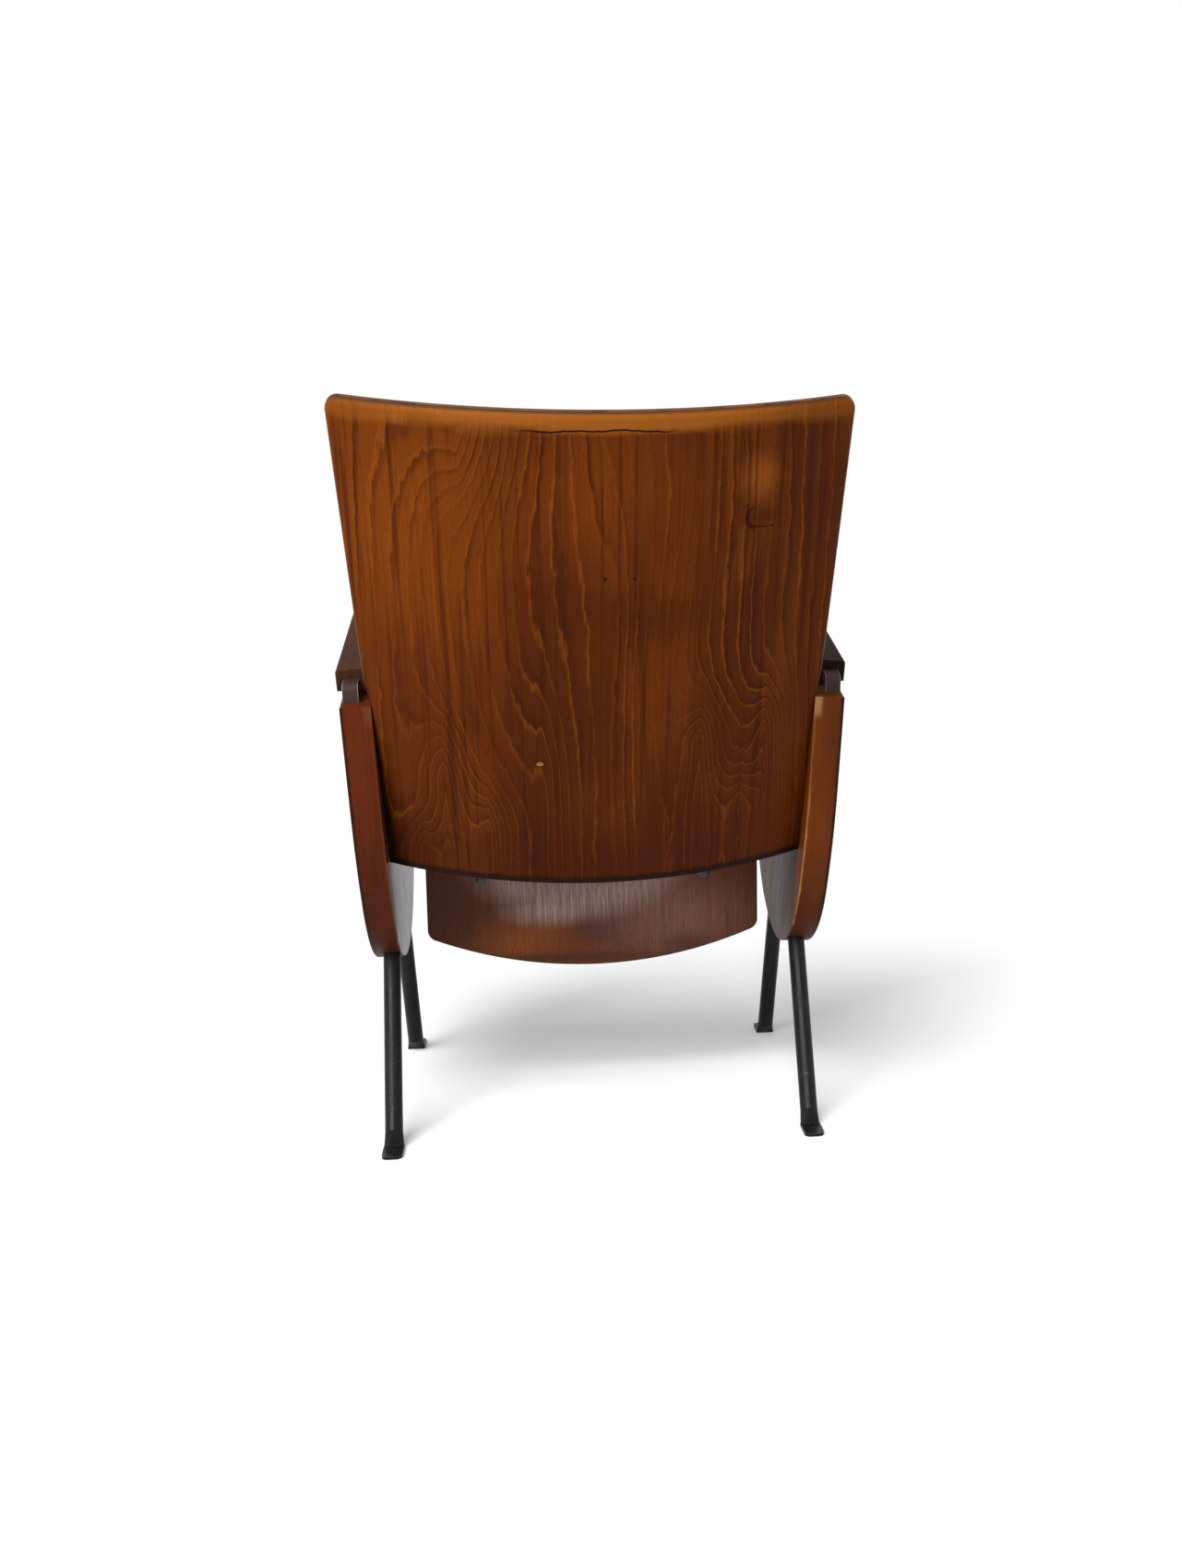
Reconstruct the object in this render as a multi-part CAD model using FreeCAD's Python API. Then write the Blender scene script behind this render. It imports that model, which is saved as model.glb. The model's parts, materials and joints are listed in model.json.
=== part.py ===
import FreeCAD, Part
import math
import os

V = FreeCAD.Vector

# Tip-up auditorium seat, in millimetres. +Z is up, the sitter faces -Y and the sitter's left is +X.
# The origin lies on the floor in the middle of the four foot holes. The seat is drawn tipped up.

# Legs: round tube, flattened and turned out at the foot
heel_half_depth = 175.0
heel_half_width = 240.3
tube_radius = 10.2
tube_wall = 1.5
flatten_height = 14.0
tab_length = 33.0
tab_width = 23.0
tab_thick = 4.0
tab_corner = 7.0
neck_inset = 0.2
foot_hole_radius = 4.25
foot_hole_setback = 19.0
cant = math.radians(1.9)

# Pivot of the seat, where the two legs of a side meet in a steel hub
pivot_y = -64.0
pivot_z = 350.0
hub_radius = 24.0
hub_reach = 12.0
axle_radius = 10.0
axle_bore_radius = 6.0
axle_end_inset = 4.0
bolt_head_radius = 10.0
bolt_head_height = 6.0
washer_radius = 13.0
washer_thick = 2.0

# Side panel: a wooden shield with a thin cover board let in flush on its inner face
panel_thick = 34.0
panel_offset = 4.4
panel_top_y = 187.3
panel_top_z = 507.0
panel_low_z = 177.0
rear_upper_radius = 500.0
rear_lower_radius = 165.0
front_arc_radius = 230.0
rear_lean = math.radians(11.0)
rear_lower_lean = math.radians(27.0)
arm_slope = math.radians(14.5)
front_corner_radius = 30.0
outer_arris_radius = 3.0
cover_thick = 1.8
cover_margin = 46.0
cover_top_margin = 62.0

# Armrest on its bent flat bar
arm_gap = 6.5
arm_thick = 25.0
arm_width = 40.0
arm_inner_offset = -14.3
arm_length = 415.0
arm_setback = 36.0
arm_top_radius = 4.0
arm_front_radius = 16.0
groove_depth = 13.0
bar_width = 17.0
bar_thick = 7.0
bar_outer_wall = 3.5
bar_setback = 11.5
bar_bend_radius = 7.0
bar_rear_depth = 42.0
bar_front_depth = 45.0
bar_front_run = 372.0
arm_screw_radius = 2.5
arm_screw_head_radius = 5.0
arm_screw_head_height = 3.0
arm_screw_bite = 5.0
arm_screw_count = 3

# Back: bent plywood with tapering sides
back_thick = 12.0
back_bend_radius = 637.0
back_recline = math.radians(22.0)
back_foot_y = 112.7
back_foot_z = 319.8
back_length = 539.5
back_top_half_width = 266.0
back_shoulder_gap = 6.0
back_shoulder_rise = 22.0
back_shoulder_step = 6.5
back_belly = 7.0
back_corner_radius = 15.0
back_roll_radius = 8.0

# Angle brackets between the back and the side panels
bracket_leg = 26.0
bracket_thick = 2.5
bracket_height = 30.0
bracket_low = 45.0
bracket_high = 160.0
bracket_screw_place = 16.0
wood_screw_radius = 2.0
wood_screw_head_radius = 4.0
wood_screw_head_height = 2.2
wood_screw_bite = 9.0
back_screw_bite = 7.2

# Seat: dished plywood on two hinge brackets
seat_thick = 11.0
seat_height = 43.0
seat_half_width = 208.0
seat_rear_mid = 198.0
seat_rear_corner = 156.0
seat_front_mid = 215.0
seat_front_corner = 197.0
seat_rear_corner_radius = 14.0
seat_front_corner_radius = 26.0
dish_depth = 13.0
dish_half_depth = 135.0
dish_middle = -5.0
nose_start = 160.0
nose_drop = 13.0
hinge_half_spacing = 140.0
hinge_hub_radius = 17.0
hinge_hub_width = 30.0
hinge_bore_gap = 0.05
flange_width = 26.0
flange_thick = 5.0
flange_corner = 9.0
flange_rear = 105.0
flange_front = 100.0
web_thick = 6.0
web_half_base = 70.0
seat_bolt_radius = 3.0
seat_bolt_head_radius = 7.0
seat_bolt_head_height = 3.2
seat_bolt_rear = 84.0
seat_bolt_front = 80.0
seat_nut_flats = 10.0
seat_nut_height = 5.0
seat_washer_radius = 6.5
seat_washer_thick = 1.6
bolt_tail = 2.5
dome_rim = 0.3

# Stop collars that end the swing of the seat
seat_swing = 83.0
stop_radius = 26.0
stop_finger_angle = 30.0
finger_middle_angle = 180.0
stop_disc_thick = 5.0
collar_width = 15.0
collar_screw_radius = 3.0

# Fits
seat_gap = 0.3
slip = 0.05
same = 0.01

# Worked-out values
dish_half_width = hinge_half_spacing - flange_width / 2
slope_dir = V(0, -math.cos(arm_slope), math.sin(arm_slope))
slope_up = V(0, math.sin(arm_slope), math.cos(arm_slope))
panel_inner = panel_offset - panel_thick / 2
panel_outer = panel_offset + panel_thick / 2
cover_inner = panel_inner + cover_thick
apex_half_width = heel_half_width + math.tan(cant) * (pivot_z - tab_thick / 2)
hinge_hub_end = hinge_half_spacing + hinge_hub_width / 2
collar_start = hinge_hub_end + seat_gap
flange_top = seat_height - seat_thick - seat_gap
SIDES = (("left", 1), ("right", -1))


def to_side(shape, side):
    """Place a shape drawn in the plane of the left legs, x outwards, on one side of the chair."""
    placed = shape.copy()
    placed.rotate(V(0, 0, pivot_z), V(0, 1, 0), math.degrees(cant))
    placed.translate(V(apex_half_width, 0, 0))
    if side < 0:
        placed = placed.mirror(V(0, 0, 0), V(1, 0, 0))
    return placed


def side_prism(wire, x_low, x_high):
    """A solid with a side-view outline, from x_low to x_high."""
    face = Part.Face(wire)
    solid = face.extrude(V(x_high - x_low, 0, 0))
    solid.translate(V(x_low, 0, 0))
    return solid


def polygon(points):
    return Part.makePolygon(list(points) + [points[0]])


def rod(start, end, radius):
    along = end.sub(start)
    return Part.makeCylinder(radius, along.Length, start, along)


def headed(seat_point, inward, head_radius, head_height, shank_radius, length, domed=True):
    """A screw or bolt whose head stands on seat_point and whose shank runs along inward."""
    rim = head_height * dome_rim
    rise = head_height - rim
    ball = (head_radius ** 2 + rise ** 2) / (2 * rise)
    half_turn = math.asin(head_radius / ball) / 2
    crown_mid = V(ball * math.sin(half_turn), 0, head_height - ball * (1 - math.cos(half_turn)))
    crown = Part.Arc(V(head_radius, 0, rim), crown_mid, V(0, 0, head_height)).toShape()
    if not domed:
        crown = Part.makePolygon([V(head_radius, 0, rim), V(head_radius, 0, head_height), V(0, 0, head_height)])
    sides = Part.makePolygon([V(0, 0, head_height), V(0, 0, -length), V(shank_radius, 0, -length),
                              V(shank_radius, 0, 0), V(head_radius, 0, 0), V(head_radius, 0, rim)])
    outline = Part.Wire(sides.Edges + crown.Edges)
    solid = Part.Face(outline).revolve(V(0, 0, 0), V(0, 0, 1), 360)
    solid.Placement = FreeCAD.Placement(seat_point, FreeCAD.Rotation(V(0, 0, -1), inward))
    return solid


def hex_nut(centre, axis, flats, height, bore_radius):
    across = flats / math.sqrt(3)
    corners = [V(across * math.cos(math.radians(60 * i)), across * math.sin(math.radians(60 * i)), 0)
               for i in range(6)]
    nut = Part.Face(polygon(corners)).extrude(V(0, 0, height))
    nut = nut.cut(Part.makeCylinder(bore_radius, height))
    turn = FreeCAD.Rotation(V(0, 0, 1), axis)
    nut.Placement = FreeCAD.Placement(centre, turn)
    return nut


def ring(centre, axis, outer, inner, height):
    return Part.makeCylinder(outer, height, centre, axis).cut(Part.makeCylinder(inner, height, centre, axis))


def group(solids):
    return Part.makeCompound(list(solids))


def save(name, shape):
    shape.exportStep("parts/" + name + ".step")
    print(name, "solids", len(shape.Solids), "valid", shape.isValid(),
          "volume", round(sum(s.Volume for s in shape.Solids)))


def lean_normal(lean):
    """Outward normal of a rear edge that leans forward towards its foot."""
    return V(0, math.cos(lean), -math.sin(lean))


# Side panel outline: rear line, two rear arcs, front arc from the lowest point, front line, sloping top
def panel_outline():
    top_rear = V(0, panel_top_y, panel_top_z)
    low = panel_low_point()
    lower_centre = low.add(V(0, 0, rear_lower_radius))
    lower_end = lower_centre.add(lean_normal(rear_lower_lean).multiply(rear_lower_radius))
    lower_mid = lower_centre.add(lean_normal((rear_lower_lean + math.pi / 2) / 2).multiply(rear_lower_radius))
    upper_centre = lower_end.sub(lean_normal(rear_lower_lean).multiply(rear_upper_radius))
    upper_mid = upper_centre.add(lean_normal((rear_lower_lean + rear_lean) / 2).multiply(rear_upper_radius))
    upper_end = upper_centre.add(lean_normal(rear_lean).multiply(rear_upper_radius))
    front_centre = low.add(V(0, 0, front_arc_radius))
    front_mid = front_centre.add(V(0, -math.sqrt(0.5), -math.sqrt(0.5)).multiply(front_arc_radius))
    front_end = front_centre.add(V(0, -front_arc_radius, 0))
    run = (panel_top_y - front_end.y) / math.cos(arm_slope)
    top_front = top_rear.add(V(slope_dir).multiply(run))
    edges = [
        Part.Arc(low, lower_mid, lower_end).toShape(),
        Part.Arc(lower_end, upper_mid, upper_end).toShape(),
        Part.LineSegment(upper_end, top_rear).toShape(),
        Part.LineSegment(top_rear, top_front).toShape(),
        Part.LineSegment(top_front, front_end).toShape(),
        Part.Arc(front_end, front_mid, low).toShape(),
    ]
    return Part.Wire(edges)


def panel_low_point():
    """Lowest point of the outline, reached from the top rear corner down the line and both rear arcs."""
    lower_rise = rear_lower_radius * (1 - math.sin(rear_lower_lean))
    upper_rise = rear_upper_radius * (math.sin(rear_lower_lean) - math.sin(rear_lean))
    line_rise = panel_top_z - panel_low_z - lower_rise - upper_rise
    line_run = line_rise * math.tan(rear_lean)
    upper_run = rear_upper_radius * (math.cos(rear_lean) - math.cos(rear_lower_lean))
    lower_run = rear_lower_radius * math.cos(rear_lower_lean)
    return V(0, panel_top_y - line_run - upper_run - lower_run, panel_low_z)


def panel_blank():
    blank = side_prism(panel_outline(), panel_inner, panel_outer)
    front_y = panel_low_point().y - front_arc_radius
    corner = [e for e in blank.Edges
              if abs(e.Length - panel_thick) < same and abs(e.CenterOfMass.y - front_y) < same
              and e.CenterOfMass.z > panel_top_z]
    blank = blank.makeFillet(front_corner_radius, corner)
    outer = [e for e in blank.Edges if abs(e.BoundBox.XMin - panel_outer) < same]
    return blank.makeFillet(outer_arris_radius, outer)


def cover_prism():
    """The cover reaches the panel's bottom edge and keeps a margin at the rear, top and front."""
    rear_dir = V(0, math.sin(rear_lean), math.cos(rear_lean))
    on_rear = V(0, panel_top_y, panel_top_z).sub(lean_normal(rear_lean).multiply(cover_margin))
    on_top = V(0, panel_top_y, panel_top_z).sub(V(slope_up).multiply(cover_top_margin))
    front_y = panel_low_point().y - front_arc_radius + cover_margin
    floor_z = panel_low_z - cover_margin
    low_rear = on_rear.add(V(rear_dir).multiply((floor_z - on_rear.z) / rear_dir.z))
    lean_ratio = rear_dir.y / rear_dir.z
    slope_ratio = slope_dir.z / slope_dir.y
    corner_z = (on_top.z + slope_ratio * (on_rear.y - lean_ratio * on_rear.z - on_top.y)) / (
        1 - slope_ratio * lean_ratio)
    corner_y = on_rear.y + lean_ratio * (corner_z - on_rear.z)
    front_top_z = on_top.z + slope_ratio * (front_y - on_top.y)
    outline = polygon([low_rear, V(0, corner_y, corner_z), V(0, front_y, front_top_z), V(0, front_y, floor_z)])
    return side_prism(outline, panel_inner, cover_inner)


def leg_axis(front):
    """Heel and apex of a leg in the plane of its side."""
    drop = (pivot_z - tab_thick / 2) / math.cos(cant)
    heel = V(0, -heel_half_depth if front else heel_half_depth, pivot_z - drop)
    apex = V(0, pivot_y, pivot_z)
    return heel, apex


def leg_channel(front):
    """Round-bottomed groove for one leg, open to the panel's inner face."""
    heel, apex = leg_axis(front)
    along = apex.sub(heel).normalize()
    radius = tube_radius + seat_gap
    trough = rod(heel, apex, radius)
    across = V(0, along.z, -along.y).multiply(radius)
    mouth = polygon([heel.add(across), apex.add(across), apex.sub(across), heel.sub(across)])
    return trough.fuse(side_prism(mouth, panel_inner, 0))


def hub_pocket():
    return rod(V(panel_inner, pivot_y, pivot_z), V(hub_reach + seat_gap, pivot_y, pivot_z), hub_radius + seat_gap)


def foot_tab(front):
    """Flat foot with rounded toe corners and its fixing hole, from the heel outwards."""
    turn = -1 if front else 1
    end = turn * tab_length
    low = V(heel_half_width - tab_width / 2, turn * heel_half_depth + min(end, 0), 0)
    tab = Part.makeBox(tab_width, tab_length, tab_thick, low)
    toe_y = turn * heel_half_depth + end
    toes = [e for e in tab.Edges if abs(e.Length - tab_thick) < same and abs(e.CenterOfMass.y - toe_y) < same]
    tab = tab.makeFillet(tab_corner, toes)
    hole_y = turn * (heel_half_depth + foot_hole_setback)
    return tab.cut(Part.makeCylinder(foot_hole_radius, tab_thick, V(heel_half_width, hole_y, 0)))


def leg(side, front):
    """Tube from the hub down to a foot that is flattened and turned out flat on the floor."""
    turn = -1 if front else 1
    heel = V(heel_half_width, turn * heel_half_depth, tab_thick / 2)
    apex = V(apex_half_width, pivot_y, pivot_z)
    up = apex.sub(heel).normalize()
    start = heel.add(V(up).multiply(flatten_height / up.z))
    tube = rod(start, apex, tube_radius).cut(rod(start, apex, tube_radius - tube_wall))
    wide = V(1, 0, 0).sub(V(up).multiply(up.x)).normalize()
    thin = up.cross(wide).normalize()
    round_end = Part.Circle(start, up, tube_radius)
    round_end.XAxis = wide
    flat_end = Part.Ellipse(heel.add(V(wide).multiply(tab_width / 2 - neck_inset)),
                            heel.add(V(thin).multiply(tab_thick / 2 - neck_inset)), heel)
    neck = Part.makeLoft([Part.Wire(round_end.toShape()), Part.Wire(flat_end.toShape())], True)
    bend = rod(heel.sub(V(tab_width / 2, 0, 0)), heel.add(V(tab_width / 2, 0, 0)), tab_thick / 2)
    foot = bend.fuse(foot_tab(front)).fuse(neck)
    hub = to_side(rod(V(-hub_radius, pivot_y, pivot_z), V(hub_radius, pivot_y, pivot_z), hub_radius), 1)
    solid = tube.cut(hub).fuse(foot).removeSplitter()
    if side < 0:
        solid = solid.mirror(V(0, 0, 0), V(1, 0, 0))
    return solid


def axle_hole(radius, side):
    """Straight hole across one side of the chair along the seat's pivot line."""
    return rod(V(0, pivot_y, pivot_z), V(side * (apex_half_width + panel_thick * 2), pivot_y, pivot_z), radius)


def leg_hub(side):
    hub = to_side(rod(V(cover_inner + seat_gap, pivot_y, pivot_z), V(hub_reach, pivot_y, pivot_z), hub_radius), side)
    return hub.cut(axle_hole(axle_radius + slip, side))


def axle():
    reach = apex_half_width + axle_end_inset
    bar = rod(V(-reach, pivot_y, pivot_z), V(reach, pivot_y, pivot_z), axle_radius)
    return bar.cut(rod(V(-reach, pivot_y, pivot_z), V(reach, pivot_y, pivot_z), axle_bore_radius))


def outer_face_x():
    """Where the pivot line leaves the panel's outer face."""
    return apex_half_width + panel_outer / math.cos(cant)


def axle_washer(side):
    face_x = outer_face_x() + washer_radius * math.tan(cant)
    start = V(side * face_x, pivot_y, pivot_z)
    return ring(start, V(side, 0, 0), washer_radius, axle_bore_radius + slip, washer_thick)


def axle_bolt(side):
    face_x = outer_face_x() + washer_radius * math.tan(cant) + washer_thick
    start = V(side * face_x, pivot_y, pivot_z)
    length = face_x - apex_half_width + 2 * axle_bore_radius
    return headed(start, V(-side, 0, 0), bolt_head_radius, bolt_head_height, axle_bore_radius - slip, length)


# Armrest and bar, both drawn along the panel's sloping top
def arm_point(along, up):
    return V(0, panel_top_y, panel_top_z).add(V(slope_dir).multiply(along)).add(V(slope_up).multiply(up))


def bar_path():
    """Centre line of the bent bar: rear upright, sloping run, front upright."""
    bar_up = arm_gap + groove_depth - bar_thick / 2
    rear_y = panel_top_y - bar_setback - bar_thick / 2
    along_rear = (panel_top_y + bar_up * slope_up.y - rear_y) / -slope_dir.y
    rear_corner = arm_point(along_rear, bar_up)
    front_corner = arm_point(along_rear + bar_front_run, bar_up)
    rear_foot = V(0, rear_y, panel_top_z - bar_rear_depth)
    front_surface_z = panel_top_z + (front_corner.y - panel_top_y) * slope_dir.z / slope_dir.y
    front_foot = V(0, front_corner.y, front_surface_z - bar_front_depth)
    return [rear_foot, rear_corner, front_corner, front_foot]


def rounded_path(points, radius):
    """Straight runs joined by tangent arcs."""
    edges = []
    start = points[0]
    for before, corner, after in zip(points, points[1:], points[2:]):
        way_in = corner.sub(before).normalize()
        way_out = after.sub(corner).normalize()
        turn = math.acos(way_in.dot(way_out))
        reach = radius * math.tan(turn / 2)
        arc_start = corner.sub(V(way_in).multiply(reach))
        arc_end = corner.add(V(way_out).multiply(reach))
        inward = way_out.sub(way_in).normalize()
        arc_mid = corner.add(V(inward).multiply(radius / math.cos(turn / 2) - radius))
        edges.append(Part.LineSegment(start, arc_start).toShape())
        edges.append(Part.Arc(arc_start, arc_mid, arc_end).toShape())
        start = arc_end
    edges.append(Part.LineSegment(start, points[-1]).toShape())
    return Part.Wire(edges)


def bar_centre_x():
    return panel_outer - bar_outer_wall - bar_width / 2


def arm_bar_blank(margin):
    """The bent bar, or with a margin the slot that takes it."""
    path = bar_path()
    half_x = bar_width / 2 + margin
    half_y = bar_thick / 2 + margin
    if margin:
        path = [path[0].sub(V(0, 0, margin))] + path[1:3] + [path[3].sub(V(0, 0, margin))]
    start = path[0]
    profile = polygon([start.add(V(-half_x, -half_y, 0)), start.add(V(half_x, -half_y, 0)),
                       start.add(V(half_x, half_y, 0)), start.add(V(-half_x, half_y, 0))])
    bar = rounded_path(path, bar_bend_radius).makePipeShell([profile], True, True)
    bar.translate(V(bar_centre_x(), 0, 0))
    return bar


def arm_screw_points():
    """Where the arm screws seat on the underside of the bar, and the way they go in."""
    rear = bar_path()[1]
    under = arm_gap + groove_depth - bar_thick
    along_rear = rear.sub(arm_point(0, 0)).dot(slope_dir)
    step = bar_front_run / arm_screw_count
    points = [arm_point(along_rear + step * (i + 0.5), under) for i in range(arm_screw_count)]
    return [point.add(V(bar_centre_x(), 0, 0)) for point in points]


def arm_screw(point, margin=0.0):
    length = bar_thick + arm_screw_bite
    return headed(point, slope_up, arm_screw_head_radius + margin, arm_screw_head_height,
                  arm_screw_radius + margin, length + margin, domed=not margin)


def armrest():
    low = arm_point(arm_setback, arm_gap)
    end = arm_point(arm_setback + arm_length, arm_gap)
    rise = V(slope_up).multiply(arm_thick)
    block = side_prism(polygon([low, end, end.add(rise), low.add(rise)]),
                       arm_inner_offset, arm_inner_offset + arm_width)
    front_edges = [e for e in block.Edges if abs(e.Length - arm_width) < same
                   and e.CenterOfMass.sub(V(e.CenterOfMass.x, end.y, end.z)).dot(slope_dir) > -same]
    top_front = [e for e in front_edges if e.CenterOfMass.sub(end).dot(slope_up) > arm_thick / 2]
    block = block.makeFillet(arm_front_radius, top_front)
    tops = [e for e in block.Edges if e.CenterOfMass.sub(low).dot(slope_up) > arm_top_radius
            and abs(e.BoundBox.XLength) < same and e.Length > arm_thick]
    block = block.makeFillet(arm_top_radius, tops)
    half = bar_width / 2 + seat_gap
    mid = bar_centre_x()
    deep = V(slope_up).multiply(groove_depth)
    groove_end = arm_point(bar_path()[2].sub(arm_point(0, 0)).dot(slope_dir) + bar_thick, arm_gap)
    below = V(slope_up).multiply(-arm_gap)
    groove = side_prism(polygon([low.add(below).sub(V(slope_dir).multiply(arm_thick)), groove_end.add(below),
                                 groove_end.add(deep),
                                 low.add(deep).sub(V(slope_dir).multiply(arm_thick))]), mid - half, mid + half)
    block = block.cut(groove)
    for point in arm_screw_points():
        block = block.cut(arm_screw(point, slip))
    return block


def arm_bar():
    bar = arm_bar_blank(0.0)
    for point in arm_screw_points():
        bar = bar.cut(rod(point.sub(slope_up), point.add(V(slope_up).multiply(bar_thick + 1)), arm_screw_radius + slip))
    return bar


# Back, drawn upright along its own recline
back_up = V(0, math.sin(back_recline), math.cos(back_recline))
back_out = V(0, math.cos(back_recline), -math.sin(back_recline))
back_foot = V(0, back_foot_y, back_foot_z)


def inner_face_x(z):
    """Half width between the side panels at height z."""
    return apex_half_width + panel_inner / math.cos(cant) - math.tan(cant) * (pivot_z - z)


def back_point(x, up, out=0.0):
    return back_foot.add(V(x, 0, 0)).add(V(back_up).multiply(up)).add(V(back_out).multiply(out))


def back_sheet():
    centre_out = -math.sqrt(back_bend_radius ** 2 - inner_face_x(back_foot_z) ** 2)
    start = back_point(0, -back_length / 2, centre_out)
    tall = back_length * 2
    drum = Part.makeCylinder(back_bend_radius, tall, start, back_up)
    drum = drum.cut(Part.makeCylinder(back_bend_radius - back_thick, tall, start, back_up))
    drum.rotate(start, back_up, 180)
    return drum


def back_outline_prism():
    """Tapering sides that step in at the shoulders to pass between the side panels."""
    neck_z = panel_top_z + back_shoulder_gap
    neck = (neck_z - back_foot_z) / math.cos(back_recline)
    shoulder = neck + back_shoulder_rise
    foot_half = inner_face_x(back_foot_z) - seat_gap
    neck_half = inner_face_x(neck_z) - seat_gap
    wide_half = neck_half + back_shoulder_step
    top_half = back_top_half_width
    taper = math.atan((top_half - wide_half) / (back_length - shoulder))
    corner = back_corner_radius
    inset = corner / math.tan((math.pi / 2 - taper) / 2)
    side_dir = back_point(top_half, back_length).sub(back_point(wide_half, shoulder)).normalize()
    depth = back_bend_radius / 2
    edges = []
    for sign in (1, -1):
        top = back_point(sign * top_half, back_length)
        way = V(sign * side_dir.x, side_dir.y, side_dir.z)
        on_side = top.sub(V(way).multiply(inset))
        on_top = top.sub(V(sign * inset, 0, 0))
        centre = on_top.sub(V(back_up).multiply(corner))
        bulge = top.sub(centre).normalize()
        arc_mid = centre.add(V(bulge).multiply(corner))
        edges.append(Part.Arc(on_side, arc_mid, on_top).toShape())
        edges.append(Part.LineSegment(back_point(sign * wide_half, shoulder), on_side).toShape())
        edges.append(Part.LineSegment(back_point(sign * neck_half, neck),
                                      back_point(sign * wide_half, shoulder)).toShape())
        edges.append(Part.LineSegment(back_point(sign * foot_half, 0),
                                      back_point(sign * neck_half, neck)).toShape())
    edges.append(Part.LineSegment(back_point(top_half - inset, back_length),
                                  back_point(-(top_half - inset), back_length)).toShape())
    edges.append(Part.Arc(back_point(foot_half, 0), back_point(0, -back_belly),
                          back_point(-foot_half, 0)).toShape())
    wire = Part.Wire(Part.__sortEdges__(edges))
    face = Part.Face(wire)
    prism = face.extrude(V(back_out).multiply(depth))
    prism.translate(V(back_out).multiply(-depth / 2))
    return prism


def back_panel():
    board = back_sheet().common(back_outline_prism()).Solids[0]
    top_edges = []
    for edge in board.Edges:
        rise = edge.CenterOfMass.sub(back_foot).dot(back_up)
        if rise > back_length - 1.0 and edge.Length > back_top_half_width:
            top_edges.append(edge)
    rear = max(top_edges, key=lambda e: e.CenterOfMass.y)
    return board.makeFillet(back_roll_radius, [rear])


# Angle brackets that hold the back between the side panels
def bracket_frame(side, up):
    """Corner point between the back's front face and a side panel's inner face, with two directions."""
    z = back_point(0, up).z
    x = inner_face_x(z) - seat_gap
    inner_radius = back_bend_radius - back_thick
    centre_out = -math.sqrt(back_bend_radius ** 2 - inner_face_x(back_foot_z) ** 2)
    out = centre_out + math.sqrt(inner_radius ** 2 - x ** 2)
    corner = back_point(side * x, up, out)
    turn = math.asin(x / inner_radius) - bracket_leg / inner_radius
    far = back_point(side * inner_radius * math.sin(turn), up, centre_out + inner_radius * math.cos(turn))
    return corner, far.sub(corner).normalize()


def back_bracket(side, up):
    corner, along_back = bracket_frame(side, up)
    forward = V(back_out).negative()
    inward = V(-side, 0, 0)
    back_normal = along_back.cross(back_up)
    if back_normal.dot(forward) < 0:
        back_normal = back_normal.negative()
    near_back = corner.add(V(back_normal).multiply(seat_gap))
    start = near_back.sub(V(back_up).multiply(bracket_height / 2))
    a = start
    b = start.add(V(forward).multiply(bracket_leg))
    c = b.add(V(inward).multiply(bracket_thick))
    d_along = V(along_back).multiply(bracket_leg)
    f = start.add(d_along)
    e = f.add(V(back_normal).multiply(bracket_thick))
    share = (bracket_thick - bracket_thick * back_normal.dot(inward)) / along_back.dot(inward)
    d = start.add(V(back_normal).multiply(bracket_thick)).add(V(along_back).multiply(share))
    plate = Part.Face(polygon([a, b, c, d, e, f])).extrude(V(back_up).multiply(bracket_height))
    plate.rotate(corner, back_out, side * math.degrees(cant))
    return plate


def bracket_screw(side, up, into_back, margin=0.0):
    corner, along_back = bracket_frame(side, up)
    forward = V(back_out).negative()
    back_normal = along_back.cross(back_up)
    if back_normal.dot(forward) < 0:
        back_normal = back_normal.negative()
    if into_back:
        point = corner.add(V(along_back).multiply(bracket_screw_place))
        point = point.add(V(back_normal).multiply(seat_gap + bracket_thick))
        inward = V(back_normal).negative()
        bite = back_screw_bite
    else:
        point = corner.add(V(forward).multiply(bracket_screw_place)).add(V(-side * bracket_thick, 0, 0))
        inward = V(side, 0, 0)
        bite = wood_screw_bite
    return headed(point, inward, wood_screw_head_radius + margin, wood_screw_head_height,
                  wood_screw_radius + margin, bracket_thick + bite + margin, domed=not margin)


# Seat, drawn tipped up: its depth runs up along +Z and its sitting face looks to the rear
def seat_point(x, forward, up):
    """A point given across, towards the seat's front edge and above the pivot when the seat is down."""
    return V(x, pivot_y + up, pivot_z + forward)


def seat_surface(x, forward):
    """Height of the sitting face over the pivot: a round dish, and a nose that falls at the front."""
    reach = math.hypot(x / dish_half_width, (forward - dish_middle) / dish_half_depth)
    dish = dish_depth * (0.5 + 0.5 * math.cos(math.pi * min(reach, 1.0)))
    nose = max(0.0, forward - nose_start) / (seat_front_mid - nose_start)
    return seat_height - dish - nose_drop * nose ** 2


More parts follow.
